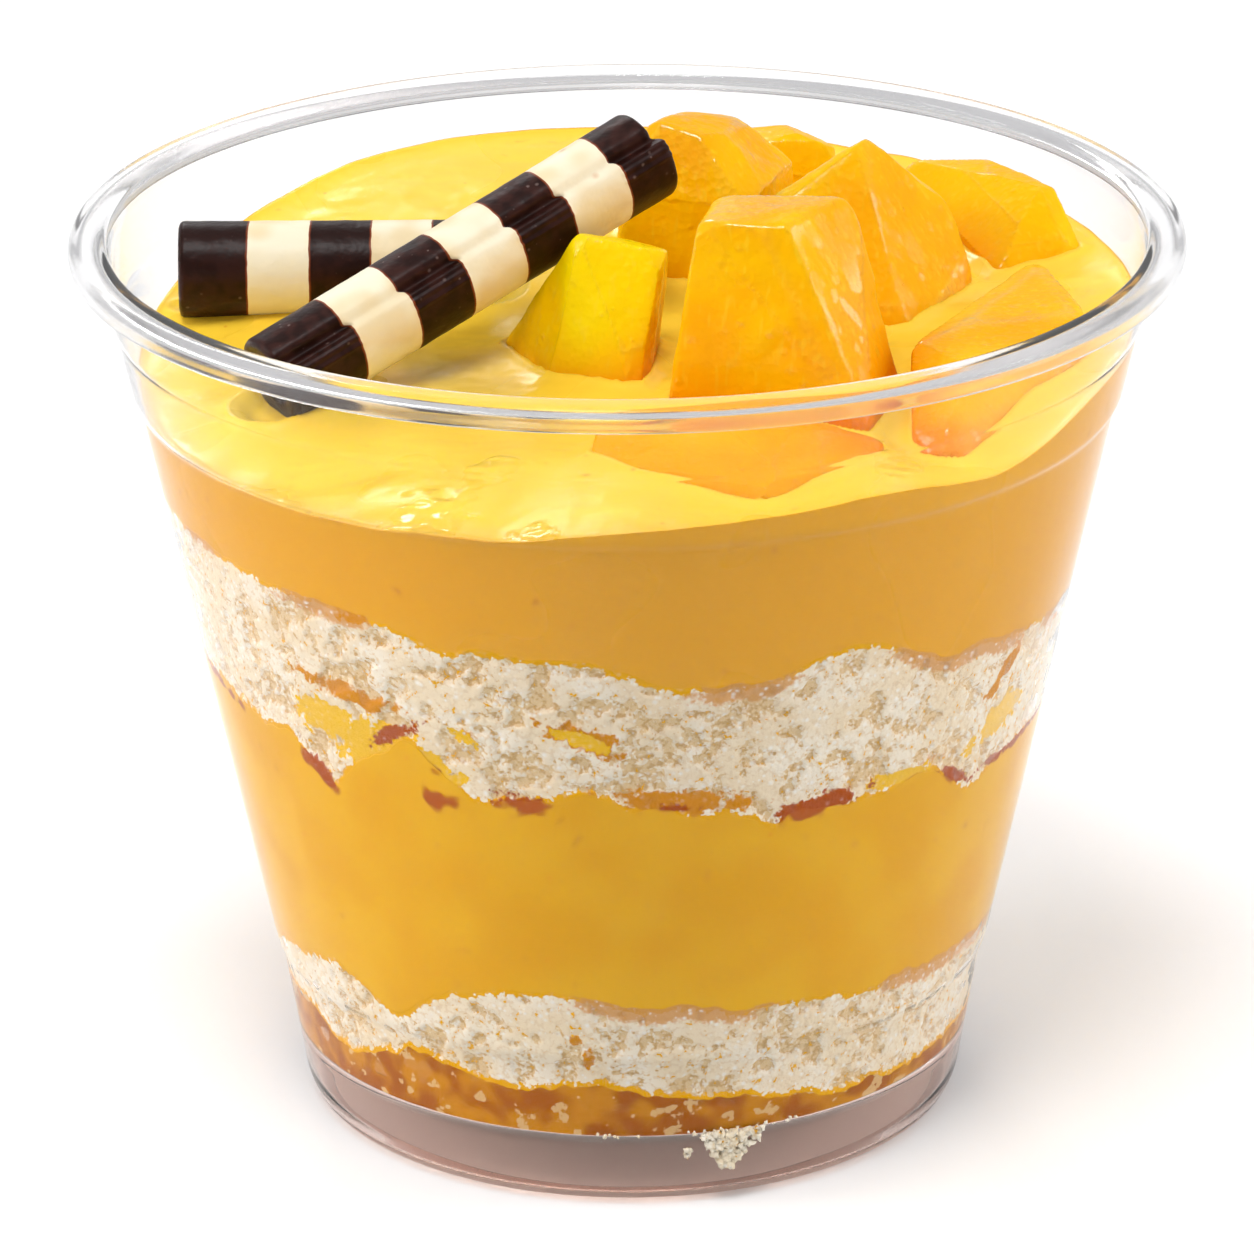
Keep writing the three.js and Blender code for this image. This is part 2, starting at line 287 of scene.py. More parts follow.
# Specks: a soft round dot in a share of the cells of a Voronoi pattern, each of its own size.
def makeSpecks():
    group, inputs, outputs = startGroup(
        "scatteredSpecks",
        [("Place", "Vector", None), ("Scale", "Float", 400.0), ("Size", "Float", 0.12),
         ("Share", "Float", 0.4)],
        [("Mask", "Float")])
    cells = textureIn(group, "ShaderNodeTexVoronoi", inputs, Randomness=1.0)
    apart = addNode(group, "ShaderNodeSeparateColor")
    wire(group, cells["Color"], apart.inputs[0])
    chosen = calculate(group, "LESS_THAN", apart.outputs[0], inputs.outputs["Share"])
    reach = calculate(group, "MULTIPLY", apart.outputs[1], inputs.outputs["Size"])
    inside = calculate(group, "SUBTRACT", reach, cells["Distance"])
    soft = calculate(group, "DIVIDE", inside, reach, clamp=True)
    wire(group, calculate(group, "MULTIPLY", soft, chosen), outputs.inputs["Mask"])
    return group


# Crumb: open cake grain, height = fine noise - distance to the cell's middle, and its shade.
def makeCrumb():
    group, inputs, outputs = startGroup(
        "openCrumb",
        [("Place", "Vector", None), ("Scale", "Float", 1100.0)],
        [("Height", "Float"), ("Shade", "Float")])
    coarse = textureIn(group, "ShaderNodeTexVoronoi", inputs, Randomness=1.0)
    fine = textureIn(group, "ShaderNodeTexNoise", inputs, 2.2, Detail=1.0, Roughness=0.6)
    height = calculate(group, "SUBTRACT", fine[0], coarse["Distance"])
    wire(group, height, outputs.inputs["Height"])
    wire(group, ramp(group, height, -0.35, 0.3), outputs.inputs["Shade"])
    return group


# Wet pits: height = distance to the middle of small dents + fine ripples, on a wet cut fruit face.
def makeWetPits():
    group, inputs, outputs = startGroup(
        "wetPits", [("Place", "Vector", None), ("Scale", "Float", 900.0)], [("Height", "Float")])
    dents = textureIn(group, "ShaderNodeTexVoronoi", inputs, Randomness=1.0)
    ripples = textureIn(group, "ShaderNodeTexNoise", inputs, 0.45, Detail=1.0, Roughness=0.6)
    height = calculate(group, "ADD", dents["Distance"], ripples[0])
    wire(group, height, outputs.inputs["Height"])
    return group


mottle, specks, crumb, wetPits = makeMottle(), makeSpecks(), makeCrumb(), makeWetPits()


# Bump = height * distance in metres on the shader's normal, with that strength.
def addBump(tree, body, height, distance, strength):
    bump = addNode(tree, "ShaderNodeBump", Distance=distance, Strength=strength)
    wire(tree, height, bump.inputs["Height"])
    wire(tree, bump.outputs[0], body.inputs["Normal"])


# The wall-side colour is painted shade: the top layer's side, darker than its top.
creamLook = {
    "side": srgb(240, 186, 30), "sideDeep": srgb(235, 176, 20), "wallSideShade": srgb(235, 171, 2),
    "top": srgb(254, 214, 62), "topDeep": srgb(253, 210, 60),
    "base": srgb(176, 98, 14), "baseDeep": srgb(212, 142, 20),
    "speck": srgb(226, 128, 10), "dark": srgb(50, 30, 12), "crumb": srgb(230, 194, 134),
    "crust": srgb(184, 94, 28), "amber": srgb(224, 158, 36),
    "mottle": 130.0, "baseMottle": 340.0, "fine": 700.0, "film": 75.0, "crumbs": 1300.0,  # texture scales
    "wetRelief": 5.0,  # how much rougher the wettest cream lies
}
creamKinds = {
    "creamTop": {
        "light": creamLook["top"], "deep": creamLook["topDeep"], "roughness": 0.34, "wetRoughness": 0.12,
        "specular": 0.4, "bump": 0.00012},
    "creamSide": {
        "light": creamLook["side"], "deep": creamLook["sideDeep"], "roughness": 0.5,
        "specular": 0.12, "bump": 0.00006},
    "creamBase": {
        "light": creamLook["base"], "deep": creamLook["baseDeep"], "roughness": 0.5,
        "specular": 0.12, "bump": 0.0002, "crumbs": True},
}


# Smooth mousse: soft mottle, orange fibre specks, the browned marks of the cake beside it, and painted shade
# on the top layer's side.
def creamMaterial(name):
    kind = creamKinds[name]
    roughness, wetRoughness = kind["roughness"], kind.get("wetRoughness")
    material, tree, body = startMaterial(
        name, Roughness=roughness, IOR=1.42, Specular_IOR_Level=kind["specular"])
    place = objectPlace(tree)
    mottleScale = creamLook["baseMottle"] if kind.get("crumbs") else creamLook["mottle"]
    tint = effectAt(tree, place, mottle, Scale=mottleScale, Colour_A=kind["light"], Colour_B=kind["deep"])
    dots = effectAt(tree, place, specks, Scale=520.0, Size=0.16, Share=0.5)
    colour = mixColours(tree, tint["Colour"], creamLook["speck"], scaled(tree, dots["Mask"], 0.75))
    rare = effectAt(tree, place, specks, Scale=120.0, Size=0.05, Share=0.08)
    colour = mixColours(tree, colour, creamLook["dark"], ramp(tree, rare["Mask"], 0.0, 0.3))
    fine = noiseAt(tree, place, Scale=creamLook["fine"], Detail=0.0)
    relief = fine
    if wetRoughness:
        film = ramp(tree, noiseAt(tree, place, Scale=creamLook["film"], Detail=1.0), 0.5, 0.62)
        film = calculate(tree, "MAXIMUM", scaled(tree, film, 0.6), markValue(tree, "wet"))
        wire(tree, scaled(tree, film, wetRoughness - roughness, roughness), body.inputs["Roughness"])
        # Painted shade: the top layer's side and bottom are darker than its top.
        colour = mixColours(tree, creamLook["wallSideShade"], colour, markValue(tree, "onTop"))
        strength = scaled(tree, markValue(tree, "wet"), creamLook["wetRelief"], 1.0)
        relief = calculate(tree, "MULTIPLY", fine, strength)
    amber = ramp(tree, markValue(tree, "amber"), 0.35, 0.75)
    colour = mixColours(tree, colour, creamLook["amber"], scaled(tree, amber, 0.8))
    colour = mixColours(tree, colour, creamLook["crust"], raggedMask(tree, "crust", fine, 1.2, 0.9, 1.4))
    if kind.get("crumbs"):
        grain = effectAt(tree, place, crumb, Scale=creamLook["crumbs"])
        bits = raggedMask(tree, "bits", grain["Shade"], 0.9, 0.95, 1.25)
        colour = mixColours(tree, colour, creamLook["crumb"], scaled(tree, bits, 0.85))
    wire(tree, colour, body.inputs["Base Color"])
    addBump(tree, body, relief, kind["bump"], 0.5)
    return material


# The hollow colours carry painted shade, and the glint colour is a painted glint.
spongeLook = {
    "touching": srgb(250, 241, 222), "touchingWarm": srgb(246, 230, 200), "seam": srgb(234, 214, 180),
    "hollow": srgb(234, 208, 160), "hollowShade": srgb(214, 178, 122), "glint": srgb(255, 253, 247),
    "cream": srgb(238, 178, 12), "edge": srgb(220, 160, 88), "amber": srgb(218, 146, 28),
    "pocket": srgb(246, 198, 28), "crust": srgb(176, 82, 22),
    "grain": 1550.0, "warmth": 210.0, "ragged": 2300.0, "glintSpecks": 1700.0,  # texture scales
}
# Each mark's raggedness, and the values where its colour starts and is full.
spongeMasks = {
    "contact": (1.5, 0.64, 0.76), "rim": (-1.1, 0.42, 0.52), "browning": (0.9, 0.75, 1.15),
    "amber": (1.1, 0.8, 1.1), "pocket": (1.2, 0.92, 1.06), "crust": (1.3, 0.95, 1.3),
}


# Open cake crumb: pale where it presses on the wall, beige with painted shade in the hollows and between its
# grains, painted glints on its crumbs, browned along its skin.
def spongeMaterial(name):
    look = spongeLook
    material, tree, body = startMaterial(name, Roughness=0.9, IOR=1.4, Specular_IOR_Level=0.15)
    place = objectPlace(tree)
    grain = effectAt(tree, place, crumb, Scale=look["grain"])
    warm = effectAt(
        tree, place, mottle, Scale=look["warmth"], Colour_A=look["touching"], Colour_B=look["touchingWarm"])
    ragged = noiseAt(tree, place, Scale=look["ragged"], Detail=1.0)
    # Painted shade: away from the wall the crumb is beige, darker where its grain is low.
    shadedRecess = mixColours(tree, look["hollowShade"], look["hollow"], ramp(tree, grain["Shade"], 0.1, 0.6))
    # Painted shade between the grains: the seam colour where the grain is low.
    seam = scaled(tree, ramp(tree, grain["Shade"], 0.5, 0.1), 0.65)
    crumbs = mixColours(tree, warm["Colour"], look["seam"], seam)
    contact = raggedMask(tree, "contact", ragged, *spongeMasks["contact"])
    colour = mixColours(tree, shadedRecess, crumbs, contact)
    teeth = raggedMask(tree, "rim", grain["Height"], *spongeMasks["rim"])  # cream between the outer crumbs
    colour = mixColours(tree, colour, look["cream"], teeth)
    edge = raggedMask(tree, "browning", ragged, *spongeMasks["browning"])
    colour = mixColours(tree, colour, look["edge"], scaled(tree, edge, 0.85))
    coloured = teeth
    for mark in ("amber", "pocket", "crust"):
        mask = raggedMask(tree, mark, ragged, *spongeMasks[mark])
        colour = mixColours(tree, colour, look[mark], mask)
        coloured = calculate(tree, "MAXIMUM", coloured, mask)
    # Painted glints: white specks over the crumb, fewer where it is coloured.
    glintSpecks = effectAt(tree, place, specks, Scale=look["glintSpecks"], Size=0.62, Share=0.75)
    shine = scaled(tree, coloured, -0.8, 1.0)
    colour = mixColours(tree, colour, look["glint"], calculate(tree, "MULTIPLY", glintSpecks["Mask"], shine))
    wire(tree, colour, body.inputs["Base Color"])
    addBump(tree, body, ragged, 0.00018, 0.55)
    return material


# The crease colour is painted shade.
mangoLook = {
    "yellow": srgb(255, 220, 0), "yellowDeep": srgb(255, 202, 0),
    "orange": srgb(255, 194, 0), "orangeDeep": srgb(255, 178, 0),
    "fibre": srgb(255, 222, 60), "creaseShade": srgb(246, 136, 0),
    "mottle": 110.0, "fibres": 1500.0, "beads": 750.0, "pits": 1600.0,  # texture scales
}


# Ripe wet flesh: yellow to orange mottle, fine fibres along the fruit, painted shade in the creases and a
# film of juice.
def mangoMaterial(name, light, deep):
    look = mangoLook
    material, tree, body = startMaterial(
        name, Roughness=0.4, IOR=1.4, Specular_IOR_Level=0.06, Coat_Roughness=0.05, Coat_IOR=1.4,
        Subsurface_Weight=0.2, Subsurface_Scale=0.006)
    body.inputs["Subsurface Radius"].default_value = (1.0, 0.7, 0.08)
    place = objectPlace(tree)
    tint = effectAt(tree, place, mottle, Scale=look["mottle"], Colour_A=light, Colour_B=deep)
    stretch = addNode(tree, "ShaderNodeMapping", Scale=(1.0, 1.0, 0.22))
    wire(tree, place, stretch.inputs["Vector"])
    fibres = noiseAt(tree, stretch.outputs[0], Scale=look["fibres"], Detail=1.0)
    strands = scaled(tree, ramp(tree, fibres, 0.56, 0.75), 0.25)
    flesh = mixColours(tree, tint["Colour"], look["fibre"], strands)
    # Painted shade: deeper orange next to the other chunks and low down near the cream.
    creaseShade = ramp(tree, markValue(tree, "creaseShade"), 0.08, 0.85)
    wire(tree, mixColours(tree, flesh, look["creaseShade"], creaseShade), body.inputs["Base Color"])
    beads = effectAt(tree, place, specks, Scale=look["beads"], Size=0.55, Share=0.4)
    juice = calculate(tree, "MAXIMUM", beads["Mask"], markValue(tree, "edge"))
    wire(tree, scaled(tree, juice, 0.85, 0.15), body.inputs["Coat Weight"])
    pits = effectAt(tree, place, wetPits, Scale=look["pits"])
    relief = scaled(tree, fibres, 0.35, pits["Height"])
    relief = calculate(tree, "MULTIPLY", relief, scaled(tree, juice, 0.7, 0.5))
    addBump(tree, body, relief, 0.00018, 0.6)
    return material


# The dusty dark is partly a painted sheen.
chocolateLook = {
    "dark": srgb(34, 11, 6), "darkDustySheen": srgb(56, 27, 21), "bloom": srgb(150, 128, 122),
    "white": srgb(250, 240, 212), "whiteDeep": srgb(242, 222, 180), "speck": srgb(214, 160, 106),
    "line": srgb(140, 64, 30),
    "wobble": 900.0, "mottle": 220.0, "specks": 330.0, "dust": 700.0, "powder": 1500.0, "fine": 1600.0,
}


# Dark and white bands by the piece's own band mark, a dusty bloom that is partly a painted sheen on one side
# of the dark, tan specks on the white.
def chocolateMaterial(name):
    look = chocolateLook
    material, tree, body = startMaterial(name, Roughness=0.38, IOR=1.45, Specular_IOR_Level=0.2)
    place = objectPlace(tree)
    wobble = noiseAt(tree, place, Scale=look["wobble"], Detail=1.0)
    band = scaled(tree, wobble, 0.16, markValue(tree, "band"))
    whites = effectAt(
        tree, place, mottle, Scale=look["mottle"], Colour_A=look["white"], Colour_B=look["whiteDeep"])
    dots = effectAt(tree, place, specks, Scale=look["specks"], Size=0.2, Share=0.16)
    pale = mixColours(tree, whites["Colour"], look["speck"], scaled(tree, dots["Mask"], 0.8))
    # Dusty bloom and painted sheen: where the bloom mark is high the dark turns dustier and lighter, with
    # pale powder specks.
    dust = effectAt(
        tree, place, mottle, Scale=look["dust"], Colour_A=look["dark"], Colour_B=look["darkDustySheen"])
    bloom = effectAt(tree, place, specks, Scale=look["powder"], Size=0.35, Share=0.3)
    powder = calculate(tree, "MULTIPLY", bloom["Mask"], markValue(tree, "bloom"))
    deep = mixColours(tree, look["dark"], dust["Colour"], markValue(tree, "bloom"))
    deep = mixColours(tree, deep, look["bloom"], scaled(tree, powder, 0.7))
    deep = mixColours(tree, look["line"], deep, ramp(tree, band, 0.12, 0.34))
    wire(tree, mixColours(tree, pale, deep, ramp(tree, band, 0.06, 0.12)), body.inputs["Base Color"])
    fine = noiseAt(tree, place, Scale=look["fine"], Detail=1.0)
    addBump(tree, body, fine, 0.00008, 0.5)
    return material


# The skirt tint is painted shade and the lip's faint glow is painted light.
cupLook = {
    "wall": (0.97, 0.967, 0.965, 1), "skirt": (0.88, 0.72, 0.66, 1), "skirtFrom": 0.0068, "skirtTo": 0.006,
    "milky": (0.035, 0.035, 0.036, 1), "lipFrom": 0.0459, "lipTo": 0.0468,  # reach and height in metres
    "roughness": 0.03, "lipRoughness": 0.12, "lampTint": (0.85, 0.75, 0.7, 1),
}


# Clear thin plastic that lets lamps through: rough in the lip with a faint painted glow, and tinted with
# painted shade in the skirt.
def cupMaterial(name):
    look = cupLook
    material, tree, body = startMaterial(
        name, Roughness=look["roughness"], IOR=1.24, Transmission_Weight=1.0, Emission_Strength=1.0)
    material.cycles.emission_sampling = "NONE"
    place = objectPlace(tree)
    across = addNode(tree, "ShaderNodeVectorMath", {"operation": "MULTIPLY"})
    wire(tree, place, across.inputs[0])
    across.inputs[1].default_value = (1, 1, 0)
    reach = addNode(tree, "ShaderNodeVectorMath", {"operation": "LENGTH"})
    wire(tree, across.outputs[0], reach.inputs[0])
    lip = ramp(tree, reach.outputs["Value"], look["lipFrom"], look["lipTo"])
    wire(tree, scaled(tree, lip, look["lipRoughness"], look["roughness"]), body.inputs["Roughness"])
    # Painted glow: a faint light of its own in the lip makes it look milky.
    wire(tree, mixColours(tree, (0, 0, 0, 1), look["milky"], lip), body.inputs["Emission Color"])
    apart = addNode(tree, "ShaderNodeSeparateXYZ")
    wire(tree, place, apart.inputs[0])
    # Painted shade: the skirt is tinted brown-mauve for the shade under the food.
    skirt = ramp(tree, apart.outputs[2], look["skirtFrom"], look["skirtTo"])
    wire(tree, mixColours(tree, look["wall"], look["skirt"], skirt), body.inputs["Base Color"])
    clear = addNode(tree, "ShaderNodeBsdfTransparent", Color=look["lampTint"])
    ray = tree.nodes.new("ShaderNodeLightPath")
    both = tree.nodes.new("ShaderNodeMixShader")
    wire(tree, ray.outputs["Is Shadow Ray"], both.inputs[0])
    wire(tree, body.outputs[0], both.inputs[1])
    wire(tree, clear.outputs[0], both.inputs[2])
    wire(tree, both.outputs[0], tree.nodes["Material Output"].inputs["Surface"])
    return material


creamTopLook, creamSideLook, creamBaseLook = (creamMaterial(name) for name in creamKinds)
spongeCrumb = spongeMaterial("spongeCrumb")
mangoYellow = mangoMaterial("mangoYellow", mangoLook["yellow"], mangoLook["yellowDeep"])
mangoOrange = mangoMaterial("mangoOrange", mangoLook["orange"], mangoLook["orangeDeep"])
chocolateBands = chocolateMaterial("chocolateBands")
clearPlastic = cupMaterial("clearPlastic")
print("materials ready")

cup = {
    "height": 81, "rim": 49, "lipDrop": 2.4, "lipThickness": 0.9, "wall": 0.6,
    "floorUnder": 6.8, "floorTop": 7.6, "footInner": 27.4, "footOuter": 28.4, "bend": 0.5,
    # radius and height of each bend of the wall, from the foot to the lip: skirt, step, collar
    "wallKnots": [
        (29.9, 1.8), (31.95, 14.2), (32.45, 15.0), (43.2, 66.4), (43.75, 67.1), (45.05, 73), (45.35, 73.6),
        (46.1, 78.6)],
    "columns": 288, "flow": 0.02, "flowSize": 7.0,
}


# Outer radius of the wall at height z: straight between the knots, averaged over a short height.
def wallRadius(z):
    radii, heights = zip(*cup["wallKnots"])
    return sum(np.interp(z + dz, heights, radii) for dz in (-0.3, -0.1, 0.1, 0.3)) / 4


# Corners replaced by short curves: (1-s)^2 a + 2s(1-s) corner + s^2 b, a and b a cut away on each side.
def roundedPath(corners, cut):
    p = np.array(corners, float)
    inner, before, after = p[1:-1], p[:-2], p[2:]
    back, ahead = before - inner, after - inner
    backLength = np.linalg.norm(back, axis=1, keepdims=True)
    aheadLength = np.linalg.norm(ahead, axis=1, keepdims=True)
    a = inner + back / backLength * np.minimum(cut, 0.42 * backLength)
    b = inner + ahead / aheadLength * np.minimum(cut, 0.42 * aheadLength)
    s = np.linspace(0, 1, 5)[None, :, None]
    curves = (1 - s) ** 2 * a[:, None] + 2 * s * (1 - s) * inner[:, None] + s ** 2 * b[:, None]
    return np.concatenate([p[:1], curves.reshape(-1, 2), p[-1:]])


# The cup's profile as radius and height, from the middle under the floor round to the middle on top of it.
def cupCorners():
    inner = lambda z: float(wallRadius(np.array(z))) - cup["wall"]
    rim, top, footInner, footOuter = cup["rim"], cup["height"], cup["footInner"], cup["footOuter"]
    lip = rim - cup["lipThickness"]
    under = top - cup["lipDrop"]
    underFloor = [
        (0, cup["floorUnder"]), (inner(6.8) - 0.8, cup["floorUnder"]), (inner(6.0), 6.0), (inner(5.0), 5.0),
        (inner(4.5), 4.5), (inner(2.4), 2.4)]
    foot = [(footOuter + 0.3, 0.8), (footInner, 0.7), (footInner, 0), (footOuter, 0), (29.35, 0.45)]
    lipUnder = [
        (46.5, top - 1.2), (lip - 0.4, top - 1.1), (lip, top - 1.4), (lip, under + 0.1), (lip + 0.35, under)]
    lipOver = [
        (rim - 0.15, under + 0.3), (rim, under + 1.1), (rim - 0.15, top - 0.5), (48.3, top), (46.4, top),
        (45.65, top - 0.35), (45.5, top - 1.1)]
    inside = [(r - cup["wall"], z) for r, z in cup["wallKnots"][:0:-1]]
    onFloor = [(inner(8.5), 8.5), (inner(7.6) - 0.9, cup["floorTop"]), (0, cup["floorTop"])]
    return [*underFloor, *foot, *cup["wallKnots"], *lipUnder, *lipOver, *inside, *onFloor]


# Points round the axis: (r cos a, r sin a, z).
def toPoints(radius, angle, height):
    return np.stack([radius * np.cos(angle), radius * np.sin(angle), height + 0 * angle], -1)


# Angles of that many columns round the axis.
def roundAngles(columns):
    return np.arange(columns) / columns * tau


# The rounded cup profile carried round the axis, its radius uneven by the faint flow of formed sheet.
def turnedCup():
    path = roundedPath(cupCorners(), cup["bend"])
    radius, height = path[1:-1, :1], path[1:-1, 1:]
    grid = toPoints(radius, roundAngles(cup["columns"]), height)
    tall = grid * np.array([1, 1, 0.25])
    flow = cup["flow"] * lumps(tall, cup["flowSize"], 7) * smooth(height, 3.0, 8.0)  # none at the foot
    grid[..., :2] *= (1 + flow / radius)[..., None]
    makeBall("clearCup", grid, clearPlastic, "cup", {})


turnedCup()

# Each boundary: level in the middle, lean of its rim towards an angle, bumps at the wall as angle, width
# and rise, and the seed, size and amount of its ragged line.
edges = {
    "creamSurface": {
        "level": 70.3, "lean": 4.2, "towards": 44, "ragged": (43, 9.0, 0.25),
        "bumps": [(120, 40, 3.4), (318, 14, -2.4), (282, 14, 0.6)]},
    "upperTop": {
        "level": 54.2, "lean": 4.5, "towards": 190, "ragged": (3, 2.6, 0.38),
        "bumps": [(247, 4, -1.4), (278, 10, -1.5), (299, 8, 2.5), (313, 3, -0.9)]},
    "upperBottom": {
        "level": 41.2, "lean": 3.2, "towards": 170, "ragged": (13, 2.6, 0.55),
        "bumps": [
            (210, 7, -1.3), (226, 4.5, -4.2), (240, 5, 3.0), (251, 4, -1.0), (264, 5, 1.0), (289, 2, -1.2),
            (313, 4, 1.8), (324, 8, -1.6)]},
    "lowerTop": {
        "level": 18.2, "lean": 1.5, "towards": 275, "ragged": (23, 2.6, 0.42),
        "bumps": [
            (90, 45, 3.5), (190, 12, -1.6), (215, 5, 0.8), (231, 6, -2.9), (255, 15, 2.0), (276, 8, 0.8),
            (311, 6, -0.5)]},
    "lowerBottom": {
        "level": 10.6, "lean": 1.7, "towards": 190, "ragged": (33, 2.4, 0.5),
        "bumps": [(214, 8, -1.9), (233, 4, 1.4), (252, 4, -0.8), (263, 7, 1.0), (315, 25, -1.2)]},
}
# How far the food is pressed into the wall, its bottom in the middle and at the rim, and the radius at
# which the ragged lines are drawn.
food = {"press": 0.07, "floor": 7.55, "rimFloor": 6.95, "ragRadius": 36}


# Radius of the food's side at height z: the wall's inner radius and a little of its thickness.
def insideRadius(z):
    return wallRadius(z) - cup["wall"] + food["press"]


# Degrees from one angle to another, from -180 to 180.
def degreesFrom(at, degrees):
    return (degrees - at + 180) % 360 - 180


# level + lean cos(angle - towards) + sum of rise exp(-((angle - at) / width)^2).
def wallLevel(edge, angle):
    height = edge["level"] + edge["lean"] * np.cos(angle - math.radians(edge["towards"]))
    for at, width, rise in edge["bumps"]:
        height = height + rise * np.exp(-(degreesFrom(at, np.degrees(angle)) / width) ** 2)
    return height


# The wall level with a ragged line, amount * rough noise, for each angle.
def raggedLevel(name, angle):
    seed, size, amount = edges[name]["ragged"]
    ring = toPoints(food["ragRadius"], angle, 0)
    return wallLevel(edges[name], angle) + amount * rough(ring, size, 3, seed)


# A boundary's height at the wall for each angle, and its height in the middle.
def boundary(name, angle):
    if name == "floor":
        return food["rimFloor"] + 0 * angle, food["floor"]
    return raggedLevel(name, angle), edges[name]["level"]


# Rows of points up the wall between two heights for each angle, the first and last rows close together.
def sidePoints(low, high, rows):
    share = np.concatenate([[0], np.linspace(0.004, 0.996, rows - 2), [1]])[:, None]
    z = low + (high - low) * share
    return insideRadius(z), z


# Rows from near the rim to near the axis: z = middle + (rim height - middle) (r / rim)^2.
def capRows(rim, rimHeight, middle, rows):
    share = np.maximum(np.linspace(1, 0, rows + 1)[1:, None], 0.004)
    return rim * share, middle + (rimHeight - middle) * share ** 2


# Closed layer between two boundaries as radius and height rows: bottom cap, side and top cap.
def layerGrid(low, high, lowMiddle, highMiddle, sideRows, capCount):
    r, z = sidePoints(low, high, sideRows)
    lowR, lowZ = capRows(r[0], z[0], lowMiddle, capCount)
    highR, highZ = capRows(r[-1], z[-1], highMiddle, capCount)
    side = np.zeros((sideRows + 2 * capCount, 1), bool)
    side[capCount:capCount + sideRows] = True
    return np.concatenate([lowR[::-1], r, highR]), np.concatenate([lowZ[::-1], z, highZ]), side


# Marks beside the wall: angle, height, half angle, half height, slope in mm per degree, strength.
marks = {
    "crust": [
        (-121.8, 46.1, 4.2, 0.8, 0.34, 1.0), (-135.9, 40.2, 3.6, 1.2, -0.4, 1.0),
        (-160, 43.2, 10, 0.6, -0.1, 0.9), (-116.2, 43.1, 1.2, 0.6, 0, 1.1),
        (-116.5, 40.5, 3.0, 1.0, -0.05, 1.0), (-104.7, 40.9, 5.0, 1.1, -0.12, 1.0),
        (-64.5, 39.7, 6.4, 1.2, 0.08, 1.15), (-40.5, 38.4, 4.6, 0.8, -0.3, 0.9),
        (-22, 38.2, 14, 0.45, 0.04, 0.9), (-84, 41.0, 3.0, 0.5, 0, 0.7), (15, 40.0, 7, 0.9, 0.1, 0.9),
        (52, 42.5, 9, 0.8, -0.1, 0.9), (88, 41.5, 5, 1.0, 0.2, 1.0), (118, 43.0, 7, 0.8, 0.1, 0.9),
        (150, 45.0, 6, 0.9, 0, 0.9)],
    "amber": [
        (-128.2, 49.1, 8.0, 0.9, -0.08, 1.1), (-111.4, 47.1, 2.2, 0.9, 0, 0.8),
        (-95.5, 47.6, 5.0, 1.3, -0.24, 0.9), (-83.5, 41.6, 9.5, 1.2, -0.06, 1.0),
        (-33, 47.4, 4.0, 1.0, 0.66, 1.1), (-125, 57.0, 2.4, 0.7, 0, 0.8), (-50, 40.4, 6, 0.8, 0.05, 0.5),
        (30, 46, 5, 1.2, 0.3, 0.9), (100, 48, 6, 1.1, -0.2, 0.9), (140, 51, 5, 1.2, 0.2, 0.9),
        (-98.9, 16.9, 1.0, 0.7, 0, 0.7), (-97.0, 14.6, 1.1, 1.2, 0.2, 0.7)],
    "pocket": [
        (-132.0, 45.6, 4.6, 2.2, -0.05, 1.2), (-125.0, 44.4, 6.5, 2.2, 0.1, 1.2),
        (-117.5, 43.4, 4.6, 2.0, 0, 1.2), (-111.5, 47.0, 2.0, 0.8, -0.2, 1.0),
        (-32.5, 42.0, 5.4, 1.7, 0.17, 1.2), (-95.8, 47.6, 3.6, 0.8, -0.24, 1.0),
        (-52, 40.4, 6.0, 0.7, 0, 0.9), (70, 47, 4, 1.2, 0.2, 1.1), (125, 50, 3, 1.0, -0.2, 1.1),
        (8, 44, 3, 1.4, 0.2, 1.1)],
}
markEdge = {"reach": 1.35, "ragged": 0.45, "size": 1.3, "seed": 31}


# Strongest of the kind's patches at each point: (reach - oval distance + ragged edge) * strength.
def wallMarks(kind, points, angle, height):
    best = np.zeros(height.shape)
    ragged = markEdge["ragged"] * rough(points, markEdge["size"], 3, markEdge["seed"])
    for at, level, halfAngle, halfHeight, slope, strength in marks[kind]:
        apart = degreesFrom(at, np.degrees(angle))
        away = np.sqrt((apart / halfAngle) ** 2 + ((height - level - slope * apart) / halfHeight) ** 2)
        best = np.maximum(best, strength * np.clip(markEdge["reach"] - away + ragged, 0, 1))
    return best


# The layers from the bottom up: boundaries, rows up the side, columns round it and the seed of its noise.
layers = {
    "creamBase": {
        "node": "cream_base", "look": creamBaseLook, "low": "floor", "high": "lowerBottom",
        "rows": 16, "columns": 720, "seed": 41, "crumbs": 1.0},
    "spongeLower": {
        "node": "sponge_lower", "look": spongeCrumb, "low": "lowerBottom", "high": "lowerTop",
        "rows": 44, "columns": 900, "seed": 51},
    "creamMiddle": {
        "node": "cream_middle", "look": creamSideLook, "low": "lowerTop", "high": "upperBottom",
        "rows": 60, "columns": 560, "seed": 61, "crumbs": 0.0},
    "spongeUpper": {
        "node": "sponge_upper", "look": spongeCrumb, "low": "upperBottom", "high": "upperTop",
        "rows": 64, "columns": 1040, "seed": 71},
}


